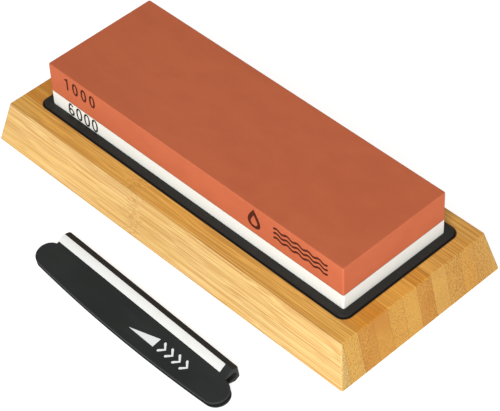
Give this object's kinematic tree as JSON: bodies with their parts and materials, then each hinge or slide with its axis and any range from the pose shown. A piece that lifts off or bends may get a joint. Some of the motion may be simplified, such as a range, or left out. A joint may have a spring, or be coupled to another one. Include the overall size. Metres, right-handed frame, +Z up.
{
  "type": "sharpening whetstone",
  "caption": "Double-sided sharpening stone held in a rubber tray set into a bevelled bamboo base, with a clip-on blade angle guide lying in front of it.",
  "frame": {"origin": "centre of the underside of the bamboo base, in the plane of its bottom face", "axes": "+X along the length of the stone towards the guide's closed end, +Y across the stone away from the guide, +Z up"},
  "size_m": [0.2162, 0.1382, 0.0454],
  "materials": {
    "bamboo": "laminated bamboo, sanded and thinly oiled",
    "foot_rubber": "matte",
    "holder_rubber": "moulded satin rubber",
    "fine_abrasive": "fine matte abrasive",
    "adhesive": "cured adhesive line",
    "coarse_abrasive": "matte bonded abrasive",
    "guide_plastic": "satin moulded plastic",
    "guide_ceramic": "ground white ceramic"
  },
  "bodies": {
    "base": {"bamboo_strip_01": "bamboo", "bamboo_strip_02": "bamboo", "bamboo_strip_03": "bamboo", "bamboo_strip_04": "bamboo", "bamboo_strip_05": "bamboo", "bamboo_strip_06": "bamboo", "bamboo_strip_07": "bamboo", "bamboo_strip_08": "bamboo", "bamboo_strip_09": "bamboo", "bamboo_strip_10": "bamboo", "bamboo_strip_11": "bamboo", "bamboo_strip_12": "bamboo", "foot_front_left": "foot_rubber", "foot_front_right": "foot_rubber", "foot_back_left": "foot_rubber", "foot_back_right": "foot_rubber"},
    "holder": {"stone_holder": "holder_rubber"},
    "stone": {"fine_stone": "fine_abrasive", "bond_line": "adhesive", "coarse_stone": "coarse_abrasive"},
    "guide": {"guide_shell": "guide_plastic", "guide_strip_upper": "guide_ceramic", "guide_strip_lower": "guide_ceramic"}
  },
  "joints": [
    {"name": "holder_lift", "type": "slide", "parent": "base", "child": "holder", "axis": [0, 0, 1], "range_m": [0, 0.04]},
    {"name": "stone_lift", "type": "slide", "parent": "holder", "child": "stone", "axis": [0, 0, 1], "range_m": [0, 0.04]},
    {"name": "guide_lift", "type": "slide", "parent": "base", "child": "guide", "axis": [0, 0, 1], "range_m": [0, 0.06]}
  ]
}
